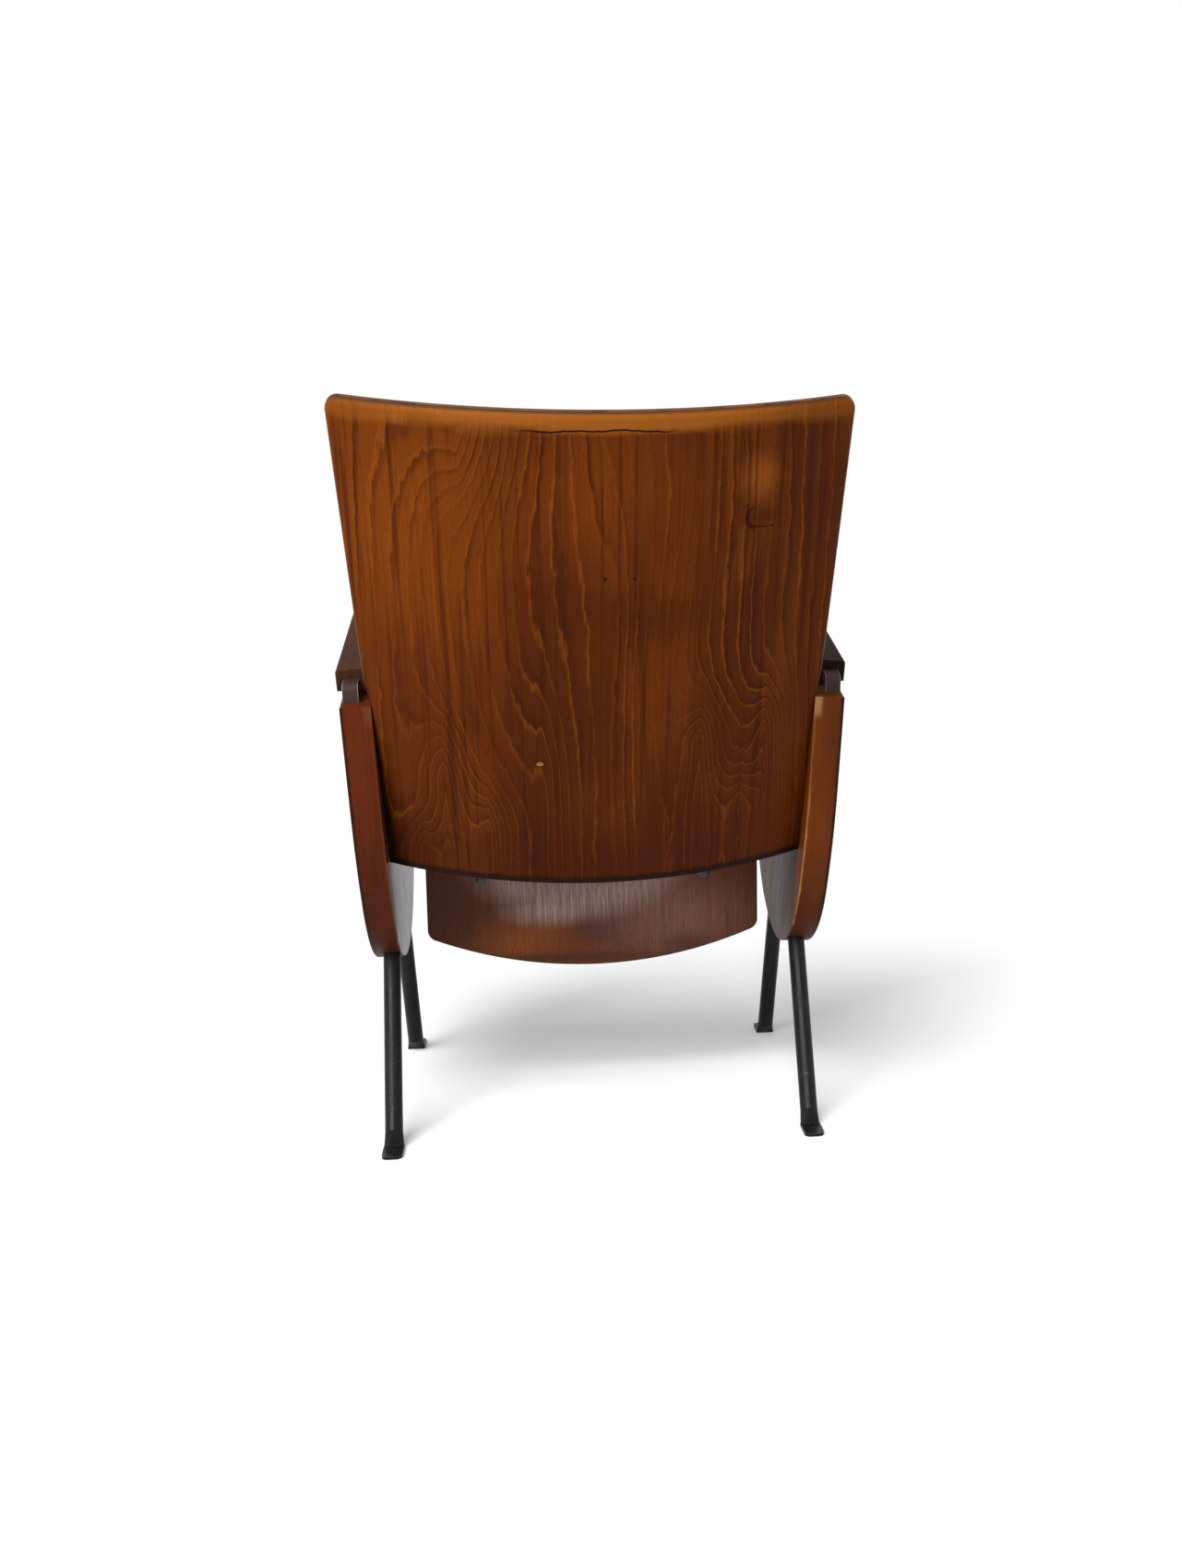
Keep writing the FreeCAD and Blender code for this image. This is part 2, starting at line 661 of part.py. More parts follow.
def seat_outline_prism():
    half = seat_half_width
    rear_corner = [seat_point(-half, -seat_rear_corner, 0), seat_point(half, -seat_rear_corner, 0)]
    front_corner = [seat_point(-half, seat_front_corner, 0), seat_point(half, seat_front_corner, 0)]
    wire = Part.Wire([
        Part.Arc(rear_corner[0], seat_point(0, -seat_rear_mid, 0), rear_corner[1]).toShape(),
        Part.LineSegment(rear_corner[1], front_corner[1]).toShape(),
        Part.Arc(front_corner[1], seat_point(0, seat_front_mid, 0), front_corner[0]).toShape(),
        Part.LineSegment(front_corner[0], rear_corner[0]).toShape(),
    ])
    prism = Part.Face(wire).extrude(V(0, 2 * seat_height, 0))
    uprights = [e for e in prism.Edges if abs(e.Length - 2 * seat_height) < same]
    rear = [e for e in uprights if e.CenterOfMass.z < pivot_z]
    front = [e for e in uprights if e.CenterOfMass.z > pivot_z]
    prism = prism.makeFillet(seat_rear_corner_radius, rear)
    front = [e for e in prism.Edges if any(e.CenterOfMass.sub(f.CenterOfMass).Length < same for f in front)]
    return prism.makeFillet(seat_front_corner_radius, front)


def seat_panel():
    across = 17
    deep = 21
    spare = 8.0
    rows = []
    for i in range(across):
        x = (seat_half_width + spare) * (2.0 * i / (across - 1) - 1)
        row = []
        for j in range(deep):
            forward = -seat_rear_mid - spare + (seat_rear_mid + seat_front_mid + 2 * spare) * j / (deep - 1)
            row.append(seat_point(x, forward, seat_surface(x, forward)))
        rows.append(row)
    surface = Part.BSplineSurface()
    surface.interpolate(rows)
    slab = surface.toShape().extrude(V(0, -seat_thick, 0))
    board = slab.common(seat_outline_prism()).Solids[0]
    for x, forward in seat_bolt_places():
        board = board.cut(rod(seat_point(x, forward, 0), seat_point(x, forward, 2 * seat_height),
                              seat_bolt_radius + slip))
    return board


def seat_bolt_places():
    return [(sign * hinge_half_spacing, forward) for sign in (1, -1)
            for forward in (-seat_bolt_rear, seat_bolt_front)]


def sector(x_low, x_high, inner, outer, start_angle, end_angle):
    """Part of a ring about the pivot line. Angles in degrees turn from +Y towards +Z."""
    def at(radius, angle):
        turn = math.radians(angle)
        return V(x_low, pivot_y + radius * math.cos(turn), pivot_z + radius * math.sin(turn))
    middle = (start_angle + end_angle) / 2
    wire = Part.Wire([
        Part.Arc(at(outer, start_angle), at(outer, middle), at(outer, end_angle)).toShape(),
        Part.LineSegment(at(outer, end_angle), at(inner, end_angle)).toShape(),
        Part.Arc(at(inner, end_angle), at(inner, middle), at(inner, start_angle)).toShape(),
        Part.LineSegment(at(inner, start_angle), at(outer, start_angle)).toShape(),
    ])
    return Part.Face(wire).extrude(V(x_high - x_low, 0, 0))


def seat_bracket(side):
    """Hinge bracket: hub on the axle, web and flange under the seat, and a finger for the stop collar."""
    hub_low = hinge_half_spacing - hinge_hub_width / 2
    hub = rod(V(hub_low, pivot_y, pivot_z), V(hinge_hub_end, pivot_y, pivot_z), hinge_hub_radius)
    disc = rod(V(hinge_hub_end - stop_disc_thick, pivot_y, pivot_z), V(hinge_hub_end, pivot_y, pivot_z), stop_radius)
    half_angle = stop_finger_angle / 2
    finger = sector(hinge_hub_end, collar_start + collar_width, hinge_hub_radius + seat_gap, stop_radius,
                    finger_middle_angle - half_angle, finger_middle_angle + half_angle)
    flange_low = seat_point(hinge_half_spacing - flange_width / 2, -flange_rear, flange_top - flange_thick)
    flange = Part.makeBox(flange_width, flange_thick, flange_rear + flange_front, flange_low)
    ends = [e for e in flange.Edges if abs(e.Length - flange_thick) < same]
    flange = flange.makeFillet(flange_corner, ends)
    top = flange_top - flange_thick
    web = polygon([seat_point(0, -web_half_base, top), seat_point(0, web_half_base, top),
                   seat_point(0, hinge_hub_radius, 0), seat_point(0, -hinge_hub_radius, 0)])
    web = side_prism(web, hinge_half_spacing - web_thick / 2, hinge_half_spacing + web_thick / 2)
    solid = hub.fuse(disc).fuse(finger).fuse(flange).fuse(web)
    solid = solid.cut(rod(V(0, pivot_y, pivot_z), V(2 * hinge_half_spacing, pivot_y, pivot_z),
                          axle_radius + hinge_bore_gap))
    for x, forward in seat_bolt_places():
        if x > 0:
            solid = solid.cut(rod(seat_point(x, forward, 0), seat_point(x, forward, seat_height),
                                  seat_bolt_radius + slip))
    if side < 0:
        solid = solid.mirror(V(0, 0, 0), V(1, 0, 0))
    return solid.removeSplitter()


def seat_bolt(x, forward):
    length = seat_thick + flange_thick + seat_washer_thick + seat_nut_height + bolt_tail + 2 * seat_gap
    return headed(seat_point(x, forward, seat_height + seat_gap), V(0, -1, 0), seat_bolt_head_radius,
                  seat_bolt_head_height, seat_bolt_radius, length)


def seat_washer(x, forward):
    start = seat_point(x, forward, flange_top - flange_thick)
    return ring(start, V(0, -1, 0), seat_washer_radius, seat_bolt_radius + slip, seat_washer_thick)


def seat_nut(x, forward):
    start = seat_point(x, forward, flange_top - flange_thick - seat_washer_thick)
    return hex_nut(start, V(0, -1, 0), seat_nut_flats, seat_nut_height, seat_bolt_radius + slip)


def stop_collar(side):
    """Collar clamped on the axle, with a notch in which the bracket's finger swings."""
    half_angle = stop_finger_angle / 2
    spare = math.degrees(seat_gap / hinge_hub_radius)
    notch_low = finger_middle_angle - half_angle - spare
    notch_high = finger_middle_angle + seat_swing + half_angle + spare
    core = ring(V(collar_start, pivot_y, pivot_z), V(1, 0, 0), hinge_hub_radius, axle_radius, collar_width)
    lobe = sector(collar_start, collar_start + collar_width, axle_radius + 1, stop_radius,
                  notch_high, notch_low + 360)
    solid = core.fuse(lobe).cut(rod(V(0, pivot_y, pivot_z), V(2 * collar_start, pivot_y, pivot_z),
                                    axle_radius + slip))
    middle = V(collar_start + collar_width / 2, pivot_y, pivot_z)
    solid = solid.cut(rod(middle, middle.add(V(0, 0, stop_radius + 1)), collar_screw_radius + slip))
    if side < 0:
        solid = solid.mirror(V(0, 0, 0), V(1, 0, 0))
    return solid.removeSplitter()


def collar_screw(side):
    middle = V(side * (collar_start + collar_width / 2), pivot_y, pivot_z)
    return rod(middle.add(V(0, 0, axle_radius + slip)), middle.add(V(0, 0, stop_radius - slip)), collar_screw_radius)


os.makedirs("parts", exist_ok=True)

blank = panel_blank()
cover_block = cover_prism()
channels = leg_channel(False).fuse(leg_channel(True)).fuse(hub_pocket())
bar_slot = arm_bar_blank(slip)
cover_local = blank.common(cover_block)
panel_local = blank.cut(cover_block).cut(channels).cut(bar_slot)

board_back = back_panel()
panels = {}
for name, side in SIDES:
    panel = to_side(panel_local, side).cut(axle_hole(axle_bore_radius + seat_gap, side))
    cover = to_side(cover_local, side).cut(axle_hole(axle_radius + seat_gap, side))
    for up in (bracket_low, bracket_high):
        panel = panel.cut(bracket_screw(side, up, False, slip))
        cover = cover.cut(bracket_screw(side, up, False, slip))
        board_back = board_back.cut(bracket_screw(side, up, True, slip))
    save("side_panel_" + name, panel)
    save("inner_cover_" + name, cover)
    save("armrest_" + name, to_side(armrest(), side))
    save("arm_bar_" + name, to_side(arm_bar(), side))
    save("rear_leg_" + name, leg(side, False))
    save("front_leg_" + name, leg(side, True))
    save("leg_hub_" + name, leg_hub(side))
    save("stop_collar_" + name, stop_collar(side))

save("back_panel", board_back)
brackets = []
bracket_screws = []
for name, side in SIDES:
    for up in (bracket_low, bracket_high):
        bracket = back_bracket(side, up)
        for into_back in (True, False):
            bracket = bracket.cut(bracket_screw(side, up, into_back, slip))
            bracket_screws.append(bracket_screw(side, up, into_back))
        brackets.append(bracket)
save("back_brackets", group(brackets))
save("bracket_screws", group(bracket_screws))
save("arm_screws", group(to_side(arm_screw(point), side) for name, side in SIDES for point in arm_screw_points()))
save("axle", axle())
save("axle_bolts", group(axle_bolt(side) for name, side in SIDES))
save("axle_washers", group(axle_washer(side) for name, side in SIDES))
save("collar_screws", group(collar_screw(side) for name, side in SIDES))

save("seat_panel", seat_panel())
for name, side in SIDES:
    save("seat_bracket_" + name, seat_bracket(side))
save("seat_bolts", group(seat_bolt(x, forward) for x, forward in seat_bolt_places()))
save("seat_washers", group(seat_washer(x, forward) for x, forward in seat_bolt_places()))
save("seat_nuts", group(seat_nut(x, forward) for x, forward in seat_bolt_places()))
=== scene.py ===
import json
import math

import bpy
from mathutils import Matrix, Vector

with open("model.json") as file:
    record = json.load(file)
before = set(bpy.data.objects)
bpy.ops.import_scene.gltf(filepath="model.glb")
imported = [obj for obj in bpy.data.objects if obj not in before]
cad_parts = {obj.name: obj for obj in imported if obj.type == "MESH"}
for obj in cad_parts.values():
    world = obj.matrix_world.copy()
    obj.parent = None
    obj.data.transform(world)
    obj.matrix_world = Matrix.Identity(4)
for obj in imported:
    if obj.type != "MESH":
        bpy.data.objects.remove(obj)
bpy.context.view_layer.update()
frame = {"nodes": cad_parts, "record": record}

# Sizes of the chair that its finishes follow, to within a millimetre, in metres and radians
BACK_FOOT = (0.0, 0.1127, 0.3198)
BACK_RECLINE = math.radians(22.0)
BACK_LENGTH = 0.5395
BACK_FOOT_HALF_WIDTH = 0.2385
BACK_TAPER = 0.031
BACK_BEND = 0.637
BACK_BEND_AXIS = 0.591
SEAT_PIVOT = (0.0, -0.064, 0.350)
PANEL_TOP_REAR = (0.0, 0.1873, 0.507)
PANEL_LEAN = math.radians(11.0)
PANEL_CANT = math.radians(1.9)
ARM_SLOPE = math.radians(14.5)
REARWARD = (0.0, 1.0, 0.0)
FRONTWARD = (0.0, -1.0, 0.0)
ACROSS_THE_MIDDLE = (-0.05, 0.05)

# Marks on the back and on the rear faces of the panels, and the depth of the painted highlight along the
# back's top, by place on the board
TOP_HIGHLIGHT_DEPTH = 0.012
CRACK_HEIGHT = 0.5255
NAIL_HOLES = ((-0.007, 0.3669, 0.0022, 0.0022), (-0.0372, 0.3670, 0.0022, 0.0022))
SCAR = (-0.160, 0.424, 0.0105, 0.0125)
SCAR_HOLLOW = (-0.164, 0.426, 0.0095, 0.0110)
SCAR_TAIL = (-0.176, 0.414, 0.018, 0.0020)
NICK = (0.0641, 0.1497, 0.0044, 0.0028)
SEAM_DROP = 0.226
OUTER_ARRIS = (0.2730, 0.2765)
INNER_ARRIS = (0.2474, 0.2458)

# The floor, and how much light it and the surroundings add
FLOOR_HALF_WIDTH = 30.0
FLOOR_LIFT = 0.155
WORLD_LEVEL = 0.38


class Graph:
    """Places shader nodes and joins them, so that a finish reads as a few lines."""

    def __init__(self, tree):
        self.tree = tree

    def add(self, kind, values=None, **settings):
        node = self.tree.nodes.new(kind)
        for name, value in settings.items():
            setattr(node, name, value)
        for name, value in (values or {}).items():
            self.feed(node.inputs[name], value)
        return node

    def feed(self, socket, value):
        if isinstance(value, bpy.types.NodeSocket):
            self.tree.links.new(value, socket)
        elif value is not None:
            socket.default_value = value

    def math(self, operation, a, b=None, clamp=False):
        node = self.add("ShaderNodeMath", operation=operation, use_clamp=clamp)
        self.feed(node.inputs[0], a)
        self.feed(node.inputs[1], b)
        return node.outputs[0]

    def span(self, value, low, high, start=0.0, end=1.0, smooth=True):
        """Maps a value from one range to another, held at both ends."""
        node = self.add("ShaderNodeMapRange", interpolation_type="SMOOTHSTEP" if smooth else "LINEAR")
        for name, number in (("Value", value), ("From Min", low), ("From Max", high),
                             ("To Min", start), ("To Max", end)):
            self.feed(node.inputs[name], number)
        return node.outputs[0]

    def vector(self, operation, a, b=None):
        node = self.add("ShaderNodeVectorMath", operation=operation)
        self.feed(node.inputs[0], a)
        self.feed(node.inputs[1], b)
        return node.outputs

    def times(self, a, b):
        return self.math("MULTIPLY", a, b)

    def parts(self, vector):
        """The X, Y and Z of a vector."""
        return self.add("ShaderNodeSeparateXYZ", {0: vector}).outputs

    def mix(self, share, a, b):
        node = self.add("ShaderNodeMix", data_type="RGBA", blend_type="MIX")
        for index, value in ((0, share), (6, a), (7, b)):
            if isinstance(value, tuple) and len(value) == 3:
                value = value + (1.0,)
            self.feed(node.inputs[index], value)
        return node.outputs[2]

    def lay(self, colour, mask, share, tint):
        """Lays a tint over a colour where a mask is, as strong as its share."""
        return self.mix(self.times(mask, share), colour, tint)

    def noise(self, place, scale, detail=3.0, roughness=0.5, distortion=0.0):
        node = self.add("ShaderNodeTexNoise", {"Vector": place, "Scale": scale, "Detail": detail,
                                               "Roughness": roughness, "Distortion": distortion})
        return node.outputs["Fac"]

    def stretch(self, place, scale, shift=(0.0, 0.0, 0.0)):
        return self.add("ShaderNodeMapping", {"Vector": place, "Scale": scale, "Location": shift}).outputs[0]

    def on_board(self, origin, turn=(0.0, 0.0, 0.0)):
        """The chair's own coordinates seen from a board: x across, y through, z along the grain."""
        place = self.add("ShaderNodeTexCoord").outputs["Object"]
        node = self.add("ShaderNodeMapping", {"Vector": place, "Location": origin, "Rotation": turn},
                        vector_type="TEXTURE")
        return node.outputs[0]

    def use(self, group, **values):
        node = self.add("ShaderNodeGroup", node_tree=group)
        for name, value in values.items():
            self.feed(node.inputs[name.replace("_", " ")], value)
        return node.outputs


def new_group(name, inputs, outputs):
    """An effect shared by several finishes, with its named inputs and outputs."""
    tree = bpy.data.node_groups.new(name, "ShaderNodeTree")
    for socket, kind, default in inputs:
        item = tree.interface.new_socket(socket, in_out="INPUT", socket_type="NodeSocket" + kind)
        if default is not None:
            item.default_value = default
    for socket, kind in outputs:
        tree.interface.new_socket(socket, in_out="OUTPUT", socket_type="NodeSocket" + kind)
    graph = Graph(tree)
    return graph, graph.add("NodeGroupInput").outputs, graph.add("NodeGroupOutput").inputs


def make_spot_group():
    """A soft-edged oval on a board, such as a stain, a worn patch or a nail hole."""
    g, given, out = new_group("spot", [("Place", "Vector", None), ("Centre", "Vector", None),
                                       ("Half size", "Vector", (0.01, 1.0, 0.01)), ("Softness", "Float", 0.5)],
                              [("Mask", "Float")])
    away = g.vector("SUBTRACT", given["Place"], given["Centre"])[0]
    ratio = g.vector("DIVIDE", away, given["Half size"])[0]
    reach = g.vector("LENGTH", ratio)["Value"]
    g.feed(out["Mask"], g.span(reach, 1.0, g.math("SUBTRACT", 1.0, given["Softness"])))
    return g.tree


def make_arch_group():
    """Lifts the growth rings of a flat-cut board into a nest of arches, open below the peak.
    A negative half height turns the nest upside down."""
    g, given, out = new_group("cathedral arch", [("Place", "Vector", None), ("Centre", "Vector", None),
                                                 ("Half width", "Float", 0.04), ("Half height", "Float", 0.12),
                                                 ("Rings", "Float", 5.0)], [("Lift", "Float")])
    away = g.vector("SUBTRACT", given["Place"], given["Centre"])[0]
    parts = g.parts(away)
    side = g.math("DIVIDE", parts["X"], given["Half width"])
    rise = g.math("DIVIDE", parts["Z"], given["Half height"])
    rise = g.math("ADD", g.math("MAXIMUM", rise, 0.0), g.times(g.math("MINIMUM", rise, 0.0), 0.10))
    flat = g.math("POWER", g.math("ABSOLUTE", side), 1.3)
    reach = g.math("ADD", flat, g.times(rise, rise))
    g.feed(out["Lift"], g.times(given["Rings"], g.math("EXPONENT", g.times(reach, -1.0))))
    return g.tree


def make_grain_group():
    """Growth lines, fibres, pores and broad tone of varnished wood, with z along the grain."""
    g, given, out = new_group("wood grain", [("Place", "Vector", None), ("Lift", "Float", 0.0),
                                             ("Line spacing", "Float", 0.012), ("Wander", "Float", 2.0)],
                              [("Lines", "Float"), ("Glow", "Float"), ("Streaks", "Float"), ("Fibre", "Float"),
                               ("Pores", "Float"), ("Tone", "Float")])
    place = given["Place"]
    across = g.math("DIVIDE", g.parts(place)["X"], given["Line spacing"])
    slow = g.noise(g.stretch(place, (9.0, 3.0, 1.5)), 1.0, 2.0, 0.45)
    jagged = g.noise(g.stretch(place, (190.0, 40.0, 34.0)), 1.0, 3.0, 0.6)
    field = g.math("ADD", across, g.times(slow, g.times(given["Wander"], 2.0)))
    field = g.math("ADD", field, given["Lift"])
    field = g.math("ADD", field, g.times(jagged, 0.62))
    saw = g.math("FRACT", field)
    late = g.times(g.span(saw, 0.55, 0.93), g.span(saw, 1.0, 0.95))
    strength = g.noise(g.stretch(place, (26.0, 8.0, 5.0), (3.0, 1.0, 2.0)), 1.0, 2.0)
    ring = g.math("FLOOR", field)
    chance = g.add("ShaderNodeTexWhiteNoise", {"W": ring}, noise_dimensions="1D").outputs["Value"]
    strength = g.times(g.span(strength, 0.35, 0.65, 0.22, 1.0), g.span(chance, 0.0, 0.8, 0.20, 1.0))
    nested = g.span(g.math("ABSOLUTE", given["Lift"]), 1.6, 4.5, 0.0, 0.5)
    strength = g.math("MAXIMUM", strength, nested)
    g.feed(out["Lines"], g.times(late, strength))
    early = g.times(g.span(saw, 0.0, 0.05), g.span(saw, 0.22, 0.06))
    g.feed(out["Glow"], g.times(early, strength))
    streaks = g.noise(g.stretch(place, (130.0, 60.0, 2.6), (2.0, 4.0, 8.0)), 1.0, 3.0, 0.55)
    g.feed(out["Streaks"], g.span(streaks, 0.50, 0.72))
    fibre = g.noise(g.stretch(place, (720.0, 300.0, 12.0)), 1.0, 3.0, 0.62)
    g.feed(out["Fibre"], g.span(fibre, 0.3, 0.7))
    pores = g.noise(g.stretch(place, (1500.0, 900.0, 95.0), (7.0, 2.0, 5.0)), 1.0, 1.0, 0.4)
    g.feed(out["Pores"], g.span(pores, 0.62, 0.74))
    tone = g.noise(g.stretch(place, (11.0, 8.0, 4.0), (1.0, 9.0, 4.0)), 1.0, 3.0, 0.55)
    g.feed(out["Tone"], g.span(tone, 0.3, 0.7))
    return g.tree


def make_wear_group():
    """Where an edge has lost its finish: the corner's rounding, broken up by noise."""
    g, given, out = new_group("edge wear", [("Place", "Vector", None), ("Reach", "Float", 0.002),
                                            ("Breakup", "Float", 0.5)], [("Mask", "Float")])
    rounded = g.add("ShaderNodeBevel", {"Radius": given["Reach"]}, samples=6).outputs[0]
    plain = g.add("ShaderNodeNewGeometry").outputs["Normal"]
    along = g.vector("DOT_PRODUCT", rounded, plain)["Value"]
    corner = g.span(along, 0.985, 0.86)
    patch = g.noise(given["Place"], 140.0, 4.0, 0.65)
    worn = g.math("SUBTRACT", corner, g.times(given["Breakup"], g.span(patch, 0.35, 0.62)), clamp=True)
    g.feed(out["Mask"], worn)
    return g.tree


def make_scratch_group():
    """Fine scratches and rubs that run mostly one way."""
    g, given, out = new_group("scratches", [("Place", "Vector", None)],
                              [("Mask", "Float"), ("Smudge", "Float")])
    long = g.noise(g.stretch(given["Place"], (90.0, 90.0, 900.0)), 1.0, 2.0, 0.5, 0.6)
    few = g.noise(given["Place"], 30.0, 2.0)
    g.feed(out["Mask"], g.times(g.span(long, 0.66, 0.72), g.span(few, 0.48, 0.62)))
    g.feed(out["Smudge"], g.span(g.noise(given["Place"], 14.0, 4.0, 0.6, 0.4), 0.3, 0.7))
    return g.tree


def make_ply_group():
    """The cut edge of plywood: thin plies that turn lighter and darker through its thickness."""
    g, given, out = new_group("ply edge", [("Depth", "Float", 0.0), ("Place", "Vector", None)],
                              [("Light", "Float"), ("Glue", "Float")])
    stirred = g.math("ADD", given["Depth"], g.times(g.noise(given["Place"], 60.0, 2.0), 0.0006))
    ply = g.math("DIVIDE", stirred, 0.0017)
    saw = g.math("PINGPONG", ply, 1.0)
    g.feed(out["Light"], g.span(saw, 0.25, 0.75))
    g.feed(out["Glue"], g.span(g.math("FRACT", ply), 0.88, 0.97))
    return g.tree


SPOT = make_spot_group()
ARCH = make_arch_group()
GRAIN = make_grain_group()
WEAR = make_wear_group()
SCRATCH = make_scratch_group()
PLY = make_ply_group()


def new_finish(name):
    material = bpy.data.materials.new(name)
    material.use_nodes = True
    material.node_tree.nodes.clear()
    g = Graph(material.node_tree)
    shader = g.add("ShaderNodeBsdfPrincipled")
    g.feed(g.add("ShaderNodeOutputMaterial").inputs["Surface"], shader.outputs[0])
    return material, g, shader


def facing(g, way):
    """1 where the surface looks along a direction of the chair, 0 on its other sides."""
    normal = g.add("ShaderNodeTexCoord").outputs["Normal"]
    along = g.vector("DOT_PRODUCT", normal, way)["Value"]
    return g.span(along, 0.2, 0.6)


def cut_edge(g, colour, edge, depth, place, light, dark):
    """Shows the plies on the cut edges of a board, browned by varnish and hands."""
    plies = g.use(PLY, Depth=depth, Place=place)
    cut = g.mix(plies["Light"], dark, light)
    cut = g.lay(cut, plies["Glue"], 0.7, (0.012, 0.005, 0.003))
    dirt = g.span(g.noise(place, 45.0, 3.0), 0.42, 0.66)
    cut = g.lay(cut, dirt, 0.6, (0.020, 0.008, 0.004))
    return g.mix(edge, colour, cut)


def spot(g, place, x, z, half_x, half_z, softness=0.7):
    """A soft oval by its middle and half sizes, as deep as the board."""
    return g.use(SPOT, Place=place, Centre=(x, 0.0, z), Half_size=(half_x, 1.0, half_z),
                 Softness=softness)["Mask"]


def lay_patches(g, colour, spots, place, side):
    """Lays stains, worn patches and the painted light and sheen listed among them over one side of a board."""
    for x, z, half_x, half_z, tint, share in spots:
        mask = g.times(spot(g, place, x, z, half_x, half_z, 0.95), side)
        colour = g.lay(colour, mask, share, tint)
    return colour


def varnish(g, shader, colour, roughness, relief, strength, depth, gloss):
    """Sets a finish's colour, roughness, relief and gloss on its shader."""
    g.feed(shader.inputs["Base Color"], colour)
    g.feed(shader.inputs["Roughness"], roughness)
    surface = g.add("ShaderNodeBump", {"Height": relief, "Strength": strength, "Distance": depth}).outputs[0]
    g.feed(shader.inputs["Normal"], surface)
    shader.inputs["Specular IOR Level"].default_value = gloss


# Nests of arches on the back, by place on the board: x, z, half width, half height, rings
BACK_ARCHES = (
    (0.137, 0.545, 0.055, -0.10, 7.0),
    (0.168, 0.120, 0.026, 0.075, 6.0),
    (0.122, 0.050, 0.028, 0.070, 6.5),
    (0.196, 0.015, 0.024, 0.050, 5.0),
    (-0.112, 0.165, 0.026, 0.060, 6.0),
    (-0.185, 0.165, 0.026, 0.065, 6.0),
    (-0.160, 0.070, 0.034, 0.060, 6.0),
    (0.060, 0.100, 0.040, 0.160, 4.0),
    (-0.020, 0.300, 0.060, 0.180, 3.0),
    (-0.080, 0.480, 0.050, -0.160, 2.5),
)
# Stains and worn patches on the back's rear face, with a painted pool of light on its upper left in the first
# row: x, z, half width, half height, tint, share
BACK_TONES = (
    # Painted light: a broad lighter patch over the upper left, where the light falls.
    (0.20, 0.42, 0.17, 0.26, (0.185, 0.040, 0.0008), 0.90),
    (0.20, 0.17, 0.10, 0.16, (0.110, 0.021, 0.0006), 0.60),
    (0.02, 0.46, 0.15, 0.12, (0.175, 0.038, 0.0010), 0.60),
    (-0.05, 0.32, 0.11, 0.05, (0.070, 0.012, 0.0004), 0.75),
    (0.075, 0.34, 0.05, 0.05, (0.080, 0.014, 0.0004), 0.60),
    (-0.073, 0.08, 0.06, 0.10, (0.034, 0.006, 0.0004), 0.60),
    (0.03, 0.18, 0.04, 0.12, (0.058, 0.010, 0.0004), 0.50),
    (0.00, 0.02, 0.22, 0.06, (0.050, 0.008, 0.0004), 0.60),
    (-0.236, 0.32, 0.05, 0.26, (0.070, 0.012, 0.0004), 0.65),
    (0.21, 0.03, 0.05, 0.07, (0.040, 0.006, 0.0003), 0.60),
    (-0.163, 0.468, 0.034, 0.036, (0.270, 0.070, 0.008), 0.85),
    (-0.150, 0.385, 0.014, 0.050, (0.190, 0.048, 0.004), 0.60),
    (-0.172, 0.425, 0.030, 0.012, (0.050, 0.012, 0.002), 0.75),
)
# The same on the seat, on the side that people sit on, with a painted grey reflection sheen in the third row
SEAT_TONES = (
    (0.09, -0.165, 0.10, 0.050, (0.230, 0.055, 0.006), 0.85),
    (0.00, -0.185, 0.12, 0.030, (0.170, 0.040, 0.006), 0.60),
    # Painted reflection: a pale grey sheen at x -0.10 on the sitting side.
    (-0.10, -0.140, 0.15, 0.085, (0.200, 0.085, 0.062), 0.85),
    (0.18, -0.12, 0.05, 0.10, (0.068, 0.017, 0.004), 0.70),
    (0.05, -0.188, 0.20, 0.012, (0.040, 0.010, 0.003), 0.70),
    (-0.12, -0.175, 0.05, 0.02, (0.060, 0.018, 0.010), 0.60),
)


